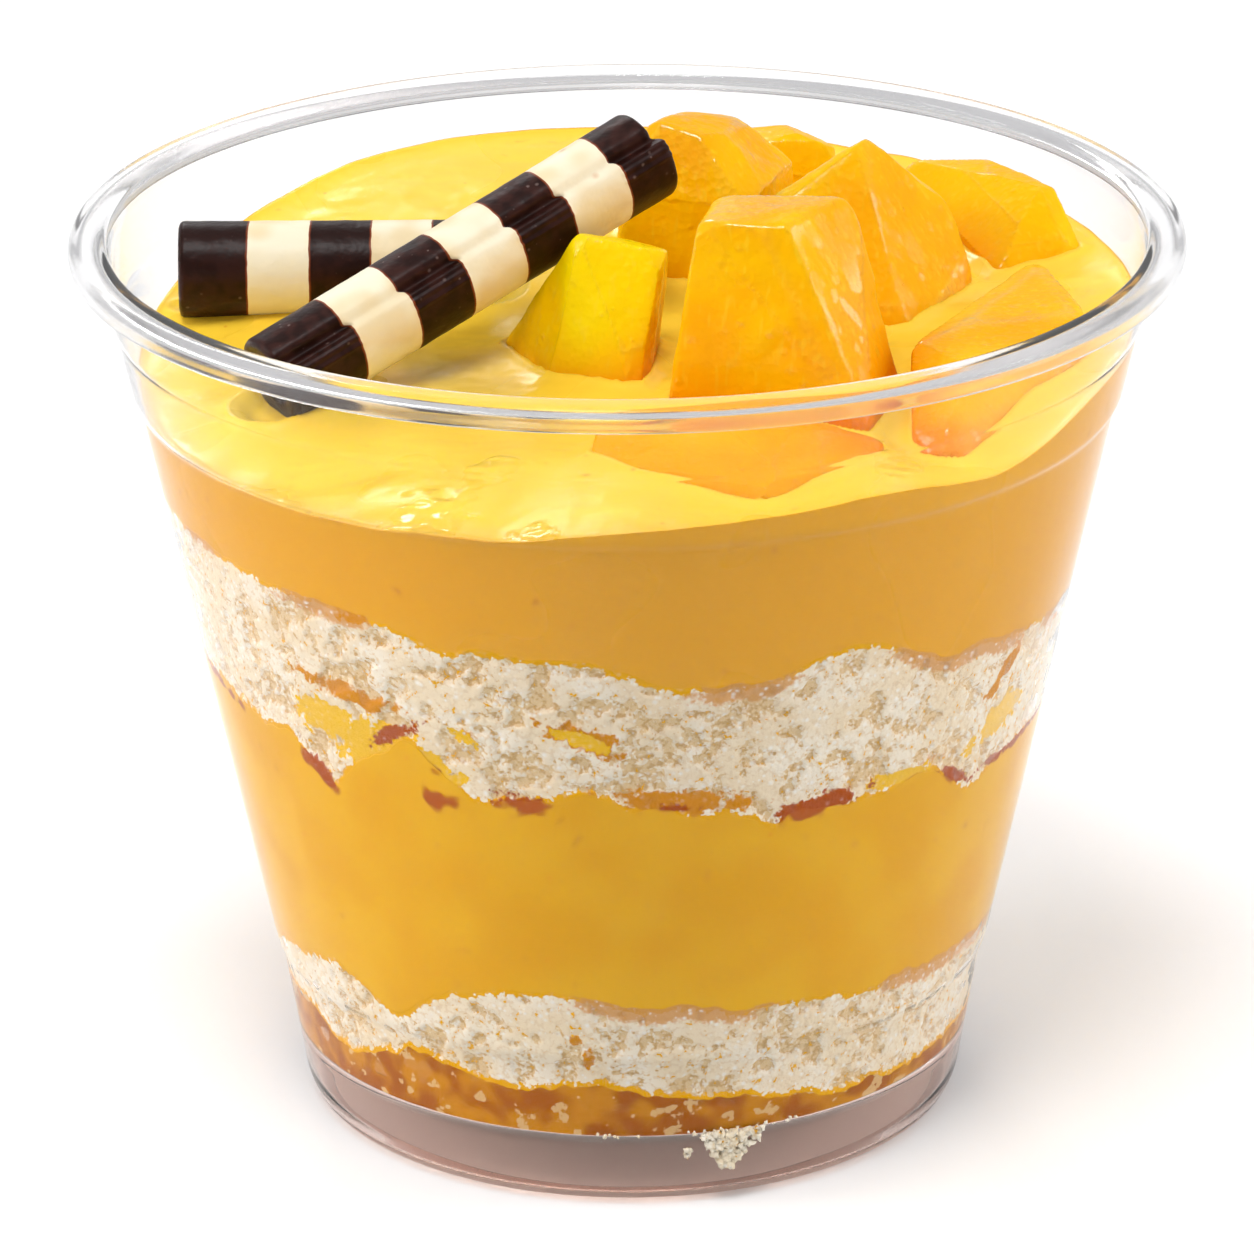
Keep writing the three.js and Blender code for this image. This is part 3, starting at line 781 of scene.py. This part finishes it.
# A layer between its two boundaries: radius rows, which rows are its side, points, the marks of those kinds,
# and each point's height under the upper boundary and over the lower one.
def startLayer(layer, capCount, kinds):
    angle = roundAngles(layer["columns"])
    (low, lowMiddle), (high, highMiddle) = boundary(layer["low"], angle), boundary(layer["high"], angle)
    radius, height, side = layerGrid(low, high, lowMiddle, highMiddle, layer["rows"], capCount)
    points = toPoints(radius, angle, height)
    marked = {kind: wallMarks(kind, points, angle + 0 * radius, height) for kind in kinds}
    return radius, side, points, marked, high - height, height - low


spongeShape = {
    "capRows": 4, "lump": 1.9, "lumpShare": 0.6, "grain": 0.8, "grainShare": 0.45, "touch": 0.16,
    "hollow": 0.24, "hollowGrain": 0.14, "touchGrain": 0.05, "pocketDip": 0.12, "capDip": 0.1,
    "edgeFrom": 0.1, "edgeTo": 0.9, "brownFrom": 2.6, "brownTo": 0.8, "brownSize": 9, "teeth": 0.9,
}


# Sponge between two boundaries. contact = lumps + grains + touch says where it meets the wall, and its side
# dips inwards where it doesn't: (1 - contact) (hollow + grain) + contact grain.
def spongeLayer(name, layer):
    shape, seed = spongeShape, layer["seed"]
    radius, side, points, marked, topGap, bottomGap = startLayer(layer, shape["capRows"], marks)
    field = shape["lumpShare"] * rough(points, shape["lump"], 2, seed)
    field = field + shape["grainShare"] * lumps(points, shape["grain"], seed + 5) + shape["touch"]
    contact = smooth(field, -0.2, 0.15)
    grain = grains(points, shape["grain"], seed + 9)
    edgeFade = smooth(np.minimum(topGap, bottomGap), shape["edgeFrom"], shape["edgeTo"])
    hollow = shape["hollow"] + shape["hollowGrain"] * grain
    dip = ((1 - contact) * hollow + contact * shape["touchGrain"] * grain) * edgeFade
    pocket = smooth(marked["pocket"], 0.3, 0.7)
    dip = np.where(side, dip * (1 - pocket) + shape["pocketDip"] * pocket, shape["capDip"])
    points[..., :2] *= (1 - dip / np.maximum(radius, 1))[..., None]
    brownPlaces = smooth(lumps(points, shape["brownSize"], seed + 21), -0.4, 0.15)
    marked["contact"] = field
    marked["browning"] = smooth(topGap, shape["brownFrom"], shape["brownTo"]) * brownPlaces
    marked["rim"] = smooth(np.minimum(topGap, bottomGap), shape["teeth"], 0.0)
    makeBall(name, points, layer["look"], layer["node"], marked)


creamShape = {"capRows": 5, "crumb": 1.2, "crumbFrom": 0.25, "crumbTo": 0.65, "dent": 1.4, "dentDepth": 0.12}


# Mousse between two boundaries, pressed smooth on the wall, with sunk crumbs and dents where crumbs is 1.
def creamLayer(name, layer):
    shape, seed, crumbs = creamShape, layer["seed"], layer["crumbs"]
    radius, side, points, marked, *_ = startLayer(layer, shape["capRows"], ("crust", "amber"))
    bits = smooth(rough(points, shape["crumb"], 2, seed), shape["crumbFrom"], shape["crumbTo"])
    marked["bits"] = crumbs * bits
    dents = smooth(lumps(points, shape["dent"], seed + 3), 0.1, 0.8)
    dip = np.where(side, shape["dentDepth"] * crumbs * dents, 0)
    points[..., :2] *= (1 - dip / np.maximum(radius, 1))[..., None]
    makeBall(name, points, layer["look"], layer["node"], marked)


for name, layer in layers.items():
    makeLayer = creamLayer if "crumbs" in layer else spongeLayer
    makeLayer(name, layer)
print("layers ready")

topCream = {
    "columns": 640, "sideRows": 30, "rings": 120, "capRows": 4, "crowd": 1.15,
    "climb": 0.45, "climbWidth": 0.6,  # how far it creeps up the wall
    "hug": 0.6, "hugWidth": 0.8, "hugInside": 0.35, "sink": 1.2,  # its lift at what stands in it
    "bowl": 1.6, "calm": 4.0, "amber": 0.4,
    "waves": [(10.0, 0.38, 81, 0), (4.5, 0.12, 82, 3)], "ripple": (1.9, 0.03, 83),  # size, height, seed
    "swells": [  # x, y, size, rise
        (-31, -12, 6, 1.9), (-18, -30, 7, 0.5), (-12, 26, 12, 0.8), (9, -35, 8, -0.9), (12, -33, 6, -0.6)],
    "wetSpots": [  # x, y, size
        (-16.6, -35.9, 3.4), (-7.8, -40.6, 2.0), (-11.3, -28.4, 2.2), (-30.7, -29.5, 2.2), (22.5, -29.5, 2.4),
        (-27, 20, 3), (8, 33, 3)],
    "wetRagged": 0.6, "wetSize": 2.2, "wetSeed": 87,
}
mangoNames = [
    "mango_front", "mango_slice", "mango_left", "mango_center", "mango_right", "mango_back_right",
    "mango_back_left", "mango_back"]
# Each roll's two ends, where its bands change, and how far it is turned about its length.
rolls = {
    "roll_front": {
        "made": "rollFront", "from": (-31.0, -13.6, 71.0), "to": (2.2, 6.2, 85.6), "turn": -0.2,
        "bands": [7.2, 12.9, 18.7, 24.3, 29.9, 35.7]},
    "roll_back": {
        "made": "rollBack", "from": (-40.1, 10.6, 73.4), "to": (-12.6, 11.4, 73.1), "turn": 2.6,
        "bands": [6.2, 11.6, 17.2, 22.5]},
}
rollShape = {
    "radius": 4.4, "oval": 0.22, "groove": 0.8, "grooveWidth": 0.13, "paleGroove": 0.4,
    "rib": 0.2, "ribCount": 40, "shift": 0.6, "round": 0.55, "step": 0.8, "stepLength": 6,
    "scroll": 0.55, "scrollWidth": 0.3, "scrollTwist": 2.6, "uneven": 0.03,
    "columns": 200, "rows": 190, "capRows": 14, "eye": (0.02, -0.95, 0.32),  # the groove faces the eye
}


# The different face planes of a CAD node in mm, as unit normals and distances from the origin.
def facePlanes(name):
    mesh = nodes[name].data
    mesh.calc_loop_triangles()
    corners = np.array([v.co[:] for v in mesh.vertices]) / mm
    index = np.array([t.vertices[:] for t in mesh.loop_triangles])
    a, b, c = (corners[index[:, i]] for i in range(3))
    normal = np.cross(b - a, c - a)
    size = np.linalg.norm(normal, axis=1)
    keep = size > 1e-3
    normal = normal[keep] / size[keep, None]
    planes = np.concatenate([normal, np.sum(normal * a[keep], axis=1)[:, None]], 1)
    return np.unique(np.round(planes, 2), axis=0), corners.mean(0)


# How far points lie outside a convex piece: the largest of n.p - d over its faces.
def outsideDistance(planes, points):
    return np.max(points @ planes[:, :3].T - planes[:, 3], axis=-1)


# A roll's start, unit direction and length.
def rollLine(roll):
    start, end = np.array(roll["from"]), np.array(roll["to"])
    length = np.linalg.norm(end - start)
    return start, (end - start) / length, length


# How far points lie outside a roll taken as a round bar: distance to its middle line - radius.
def outsideRoll(roll, points):
    start, along, length = rollLine(roll)
    t = np.clip((points - start) @ along, 0, length)
    return np.linalg.norm(points - start - t[..., None] * along, axis=-1) - rollShape["radius"]


# middle + (rim height - middle) (r / rim)^bowl, swells, slow folds that calm at the rim, and ripples.
def surfaceHeight(x, y, rimHeight, rim):
    r = np.hypot(x, y)
    level = edges["creamSurface"]["level"]
    z = level + (rimHeight - level) * np.minimum(1, r / rim) ** topCream["bowl"]
    for cx, cy, size, rise in topCream["swells"]:
        z = z + rise * np.exp(-((x - cx) ** 2 + (y - cy) ** 2) / size ** 2)
    flat = np.stack([x, y * 1.5, 0 * x], -1)
    calm = smooth(rim - r, 0.0, topCream["calm"])
    z = z + calm * sum(height * lumps(flat + offset, size, seed)
                       for size, height, seed, offset in topCream["waves"])
    size, height, seed = topCream["ripple"]
    return z + height * lumps(flat, size, seed)


# The wet places of the surface: 1.3 - oval distance + ragged edge, from 0 to 1.
def wetMark(points):
    wet = np.zeros(points.shape[:-1])
    ragged = topCream["wetRagged"] * rough(points, topCream["wetSize"], 2, topCream["wetSeed"])
    for wetX, wetY, size in topCream["wetSpots"]:
        away = np.hypot((points[..., 0] - wetX) / size, (points[..., 1] - wetY) / size / 1.2)
        wet = np.maximum(wet, smooth(1.3 - away + ragged, 0.0, 0.5))
    return wet


# The top layer: cap, side and a surface that creeps up the wall and round what stands in it, and lies
# under it: + hug exp(-distance / width) outside, - sink inside.
def topCreamPiece():
    shape = topCream
    angle = roundAngles(shape["columns"])
    low, lowMiddle = boundary("upperTop", angle)
    rimHeight = raggedLevel("creamSurface", angle)
    rim = insideRadius(rimHeight)
    sideR, sideZ = sidePoints(low, rimHeight + shape["climb"], shape["sideRows"])
    capR, capZ = capRows(sideR[0], low, lowMiddle, shape["capRows"])
    share = np.linspace(0, 1, shape["rings"] + 1)[1:, None] ** shape["crowd"]
    r = rim * np.maximum(1 - share, 0.003)
    x, y = r * np.cos(angle), r * np.sin(angle)
    z = surfaceHeight(x, y, rimHeight, rim) + shape["climb"] * np.exp(-(rim - r) / shape["climbWidth"])
    spots = np.stack([x, y, z], -1)
    away = [outsideDistance(facePlanes(name)[0], spots) for name in mangoNames]
    away = np.min(away + [outsideRoll(roll, spots) for roll in rolls.values()], axis=0)
    outside, inside = np.maximum(away, 0), np.maximum(-away, 0)
    z = z + shape["hug"] * np.exp(-outside / shape["hugWidth"] - inside / shape["hugInside"])
    z = z - shape["sink"] * smooth(inside, 0.5, 2.5)
    radius = np.concatenate([capR[::-1], sideR, r])
    height = np.concatenate([capZ[::-1], sideZ, z])
    points = toPoints(radius, angle, height)
    onTop = (np.arange(len(radius)) >= len(capR) + shape["sideRows"])[:, None]
    marked = {
        "crust": 0 * radius, "amber": shape["amber"] * wallMarks("amber", points, angle + 0 * radius, height),
        "onTop": np.where(onTop, 1.0, 0 * radius), "wet": np.where(onTop, wetMark(points), 0.0)}
    makeBall("creamTop", points, creamTopLook, "cream_top", marked)


topCreamPiece()

mangoShape = {
    "columns": 190, "rows": 120, "softness": 90, "seed": 101, "seedStep": 7,
    "dents": [(5.5, 0.22), (2.1, 0.1)], "pit": 0.8, "fibre": 0.6, "pitDepth": 0.035,  # size, depth
    "nearWidth": 2.6, "lowWidth": 2.5, "lowShare": 0.4, "edgeFrom": 0.25, "edgeTo": 0.6,
}
mangoLooks = {"mango_left": mangoYellow}


# Directions from a middle on a grid: columns turns round and rows from pole to pole.
def ballDirections(columns, rows):
    polar = np.linspace(math.pi, 0, rows + 2)[1:-1, None]
    return toPoints(np.sin(polar), roundAngles(columns), np.cos(polar))


# Radius in each direction u from the middle: soft least of d / (n.u) over the faces, plus dents and pits.
# crease = exp(-distance to the next chunk) + exp(-height over the cream), painted shade where the chunks
# crowd and near the cream; edge = where two faces pull alike.
def mangoPiece(name, seed):
    shape = mangoShape
    planes, middle = facePlanes(name)
    u = ballDirections(shape["columns"], shape["rows"])
    facing = np.maximum(u @ planes[:, :3].T, 0)
    reach = planes[:, 3] - planes[:, :3] @ middle
    pull = (facing / reach) ** shape["softness"]
    radius = np.sum(pull, axis=-1) ** (-1 / shape["softness"])
    edge = 1 - np.max(pull, axis=-1) / np.sum(pull, axis=-1)
    points = middle + radius[..., None] * u
    (dent, dentDepth), (dimple, dimpleDepth) = shape["dents"]
    tall = points * np.array([1, 1, 0.3])
    dents = dentDepth * lumps(points, dent, seed) + dimpleDepth * lumps(points, dimple, seed + 1)
    pits = shape["pitDepth"] * lumps(points, shape["pit"], seed + 2)
    pits = pits + shape["pitDepth"] * lumps(tall, shape["fibre"], seed + 3)
    points = points + (dents + pits)[..., None] * u
    others = [outsideDistance(facePlanes(other)[0], points) for other in mangoNames if other != name]
    near = np.maximum(np.min(others, axis=0), 0)
    low = np.maximum(points[..., 2] - edges["creamSurface"]["level"], 0)
    creaseShade = np.exp(-near / shape["nearWidth"]) + shape["lowShare"] * np.exp(-low / shape["lowWidth"])
    marked = {"creaseShade": creaseShade, "edge": smooth(edge, shape["edgeFrom"], shape["edgeTo"])}
    first, *rest = name.split("_")
    made = first + "".join(part.capitalize() for part in rest)
    makeBall(made, points, mangoLooks.get(name, mangoOrange), name, marked)


for order, name in enumerate(mangoNames):
    mangoPiece(name, mangoShape["seed"] + mangoShape["seedStep"] * order)
print("cream top and mango ready")


# How deep each place is inside a dark band, negative in the white ones: least distance to the band's ends.
def bandDepth(roll, length, t):
    changes = [-9.0] + roll["bands"] + [length + 3]
    depth = np.full(t.shape, -99.0)
    for start, end in zip(changes[::2], changes[1::2]):
        depth = np.maximum(depth, np.minimum(t - start, end - t))
    return depth


# Oval bar with a seam groove and a ribbed edge beside it; ends rounded and grooved by the scroll.
# Radius = radius + oval cos 2a - groove exp(-(a / width)^2) + ribs; a is the turn from the seam.
def rollPiece(name, roll):
    shape, capCount = rollShape, rollShape["capRows"]
    start, along, length = rollLine(roll)
    eye = np.array(shape["eye"])
    seam = eye - eye @ along * along
    seam = seam / np.linalg.norm(seam)
    side = np.cross(along, seam)
    turn = np.linspace(-math.pi, math.pi, shape["columns"], endpoint=False)
    t = np.linspace(0, 1, shape["rows"])[:, None] * length
    shift = shape["shift"] * smooth(turn, -0.06, 0.06) * (1 - np.abs(turn) / math.pi)
    band = bandDepth(roll, length, t - shift)
    dark = smooth(band, -0.15, 0.15)
    groove = np.exp(-(turn / shape["grooveWidth"]) ** 2)
    strip = smooth(turn, 0.06, 0.14) * smooth(turn, 0.62, 0.5)
    ribs = strip * (0.6 + 0.4 * np.cos(turn * shape["ribCount"]))
    grooveShare = shape["paleGroove"] + (1 - shape["paleGroove"]) * dark
    radius = shape["radius"] + shape["oval"] * np.cos(2 * turn)
    radius = radius - shape["groove"] * groove * grooveShare + shape["rib"] * ribs * dark
    bevel = np.clip(1 - np.minimum(t, length - t) / shape["round"], 0, 1)
    radius = radius - shape["round"] * (1 - np.sqrt(1 - bevel ** 2))
    lag = shape["step"] * smooth(-np.sin(turn), -0.1, 0.1)
    place = t - lag * smooth(t, length - shape["stepLength"], length)
    share = np.maximum(np.linspace(1, 0, capCount + 1)[1:, None], 0.02)
    twist = shape["scrollTwist"] * (1 - share)
    swirl = np.exp(-((np.mod(turn - twist + math.pi, tau) - math.pi) / shape["scrollWidth"]) ** 2)
    swirlBack = np.exp(-((np.mod(turn - twist, tau) - math.pi) / shape["scrollWidth"]) ** 2)
    hollow = shape["scroll"] * np.maximum(swirl, swirlBack) * smooth(share, 0.98, 0.8)
    allR = np.concatenate([(radius[0] * share)[::-1], radius, radius[-1] * share])
    allT = np.concatenate([(place[0] + hollow)[::-1], place, place[-1] - hollow])
    turned = turn + roll["turn"]
    line = start + allT[..., None] * along
    across = allR[..., None] * (np.cos(turned)[:, None] * seam + np.sin(turned)[:, None] * side)
    points = line + across
    points = points + shape["uneven"] * lumps(points, 1.2, 91)[..., None] * (points - line) / 4
    band = np.concatenate([np.repeat(band[:1], capCount, 0), band, np.repeat(band[-1:], capCount, 0)])
    # Bloom mark, highest on one side of the roll: dusty bloom and painted sheen.
    bloom = 0.5 + 0.5 * np.cos(turn + 0.9) + 0 * allR
    makeBall(roll["made"], points, chocolateBands, name, {"band": band, "bloom": bloom})


for name, roll in rolls.items():
    rollPiece(name, roll)

crumbBits = {
    "seed": 5, "rows": 5, "columns": 8, "uneven": 0.35, "outset": 0.25,
    "wedge": {"count": 150, "at": -73.5, "top": 6.9, "tall": 3.4, "wide": 5.6, "size": 0.2, "spread": 0.22},
    "strays": {"count": 26, "at": -96, "over": 34, "low": 6.9, "tall": 0.5, "size": 0.08, "spread": 0.12},
    "dots": {"count": 9, "at": -81.4, "over": 0.9, "low": 4.9, "tall": 1.2, "size": 0.15, "spread": 0.1},
}


# Angle, height and size of the crumbs of the wedge: thick at the top, thin and to one side at the bottom.
def wedgeCrumbs(draw):
    wedge = crumbBits["wedge"]
    down = draw.random(wedge["count"]) ** 1.4
    across = (draw.random(wedge["count"]) - 0.5) * (1 - down * 0.85) - 0.08 * down
    angle = np.radians(wedge["at"] + across * wedge["wide"] / 30.5 * 57.3)
    size = wedge["size"] + wedge["spread"] * draw.random(wedge["count"])
    return angle, wedge["top"] - down * wedge["tall"], size


# Angle, height and size of crumbs scattered evenly over a patch.
def looseBits(draw, patch):
    angle = np.radians(patch["at"] + patch["over"] * draw.random(patch["count"]))
    z = patch["low"] + patch["tall"] * draw.random(patch["count"])
    return angle, z, patch["size"] + patch["spread"] * draw.random(patch["count"])


# Small rough balls on the outside of the skirt: a wedge that hangs under the floor ring, and a few strays.
def looseCrumbs():
    draw = np.random.default_rng(crumbBits["seed"])
    kinds = [wedgeCrumbs(draw), looseBits(draw, crumbBits["strays"]), looseBits(draw, crumbBits["dots"])]
    angle, z, size = (np.concatenate(values) for values in zip(*kinds))
    centres = toPoints(wallRadius(z) + crumbBits["outset"] * size, angle, z)
    rows, columns = crumbBits["rows"], crumbBits["columns"]
    ball = ballPoints(ballDirections(columns, rows))
    uneven = 1 + crumbBits["uneven"] * draw.standard_normal((len(z), len(ball), 1))
    flat = (centres[:, None] + size[:, None, None] * ball[None] * uneven).reshape(-1, 3)
    step = np.arange(len(z))[:, None, None] * len(ball)
    joined = [(step + f[None]).reshape(-1, f.shape[1]) for f in ballFaces(rows, columns)]
    marked = {key: np.zeros(len(flat)) for key in spongeMasks}
    marked["contact"] = np.ones(len(flat))
    makeMesh("looseCrumbs", flat, joined, spongeCrumb, (), marked)


looseCrumbs()
print("rolls and crumbs ready")

studio = {
    "floorColour": srgb(252, 252, 252), "floorGlow": 0.12, "floorHalf": 3.0, "floorDrop": 0.0002,
    "world": (0.98, 0.98, 1.0, 1), "worldFront": 0.3, "worldBack": 0.55,
    # each lamp: name, place, aim, size, power
    "lamps": [
        ("leftBox", (-0.95, -0.06, 0.45), (0, 0, 0.05), 0.5, 4.0),
        ("rightBox", (0.95, -0.04, 0.45), (0, 0, 0.05), 0.5, 3.2),
        ("topBox", (-0.1, -0.4, 1.0), (0, 0, 0.05), 0.35, 5.2),
        ("backBox", (-0.2, 0.95, 0.6), (0, 0, 0.07), 0.2, 0.9),
    ],
}


# Wide pale sheet just under the foot, with a faint glow of its own.
def makeFloor():
    material, _, _ = startMaterial(
        "paleFloor", Roughness=0.9, Base_Color=studio["floorColour"], Emission_Color=(1, 1, 1, 1),
        Emission_Strength=studio["floorGlow"])
    material.cycles.emission_sampling = "NONE"
    mesh = bpy.data.meshes.new("floor")
    half = studio["floorHalf"]
    corners = [(-half, -half, 0), (half, -half, 0), (half, half, 0), (-half, half, 0)]
    mesh.from_pydata(corners, [], [(0, 1, 2, 3)])
    mesh.materials.append(material)
    floor = bpy.data.objects.new("floor", mesh)
    floor.location.z = -studio["floorDrop"]
    bpy.context.scene.collection.objects.link(floor)


# Round soft boxes, and a room that is brighter behind the cup than in front of it.
def makeLamps():
    for name, place, aim, size, power in studio["lamps"]:
        lamp = bpy.data.lights.new(name, "AREA")
        lamp.shape, lamp.size, lamp.energy = "DISK", size, power
        made = bpy.data.objects.new(name, lamp)
        made.location = place
        away = np.array(aim) - np.array(place)
        made.rotation_mode = "QUATERNION"
        made.rotation_quaternion = Vector(away).to_track_quat("-Z", "Y")
        bpy.context.scene.collection.objects.link(made)
    world = bpy.data.worlds.new("softRoom")
    world.use_nodes = True
    tree = world.node_tree
    background = tree.nodes["Background"]
    background.inputs[0].default_value = studio["world"]
    apart = addNode(tree, "ShaderNodeSeparateXYZ")
    wire(tree, addNode(tree, "ShaderNodeTexCoord").outputs["Generated"], apart.inputs[0])
    fade = addNode(tree, "ShaderNodeMapRange", {"interpolation_type": "SMOOTHSTEP"},
                   From_Min=-0.75, From_Max=0.35, To_Min=studio["worldFront"], To_Max=studio["worldBack"])
    wire(tree, apart.outputs[1], fade.inputs["Value"])
    wire(tree, fade.outputs[0], background.inputs[1])
    bpy.context.scene.world = world


view = {
    "aim": (-0.25, 0, 42.88), "distance": 620.23, "down": 21.38, "roll": -0.39, "lens": 198.52, "sensor": 36}


# Looks along +Y, tilted down, from the photo's distance; rolled a little about its own line of sight.
def makeCamera():
    down, roll = math.radians(view["down"]), math.radians(view["roll"])
    ahead = np.array([0, math.cos(down), -math.sin(down)])
    right, up = np.array([1, 0, 0]), np.array([0, math.sin(down), math.cos(down)])
    right, up = math.cos(roll) * right + math.sin(roll) * up, -math.sin(roll) * right + math.cos(roll) * up
    eye = (np.array(view["aim"]) - view["distance"] * ahead) * mm
    camera = bpy.data.cameras.new("camera")
    camera.lens, camera.sensor_width = view["lens"], view["sensor"]
    camera.clip_start, camera.clip_end = 0.01, 20
    made = bpy.data.objects.new("camera", camera)
    made.matrix_world = Matrix([
        [right[0], up[0], -ahead[0], eye[0]], [right[1], up[1], -ahead[1], eye[1]],
        [right[2], up[2], -ahead[2], eye[2]], [0, 0, 0, 1]])
    bpy.context.scene.collection.objects.link(made)
    bpy.context.scene.camera = made


makeFloor()
makeLamps()
makeCamera()
cycles = bpy.context.scene.cycles
cycles.max_bounces, cycles.transmission_bounces = 7, 7
cycles.diffuse_bounces, cycles.glossy_bounces = 2, 2
cycles.adaptive_threshold = 0.3
bpy.context.scene.view_settings.view_transform = "Standard"
print("floor, lamps and camera ready")
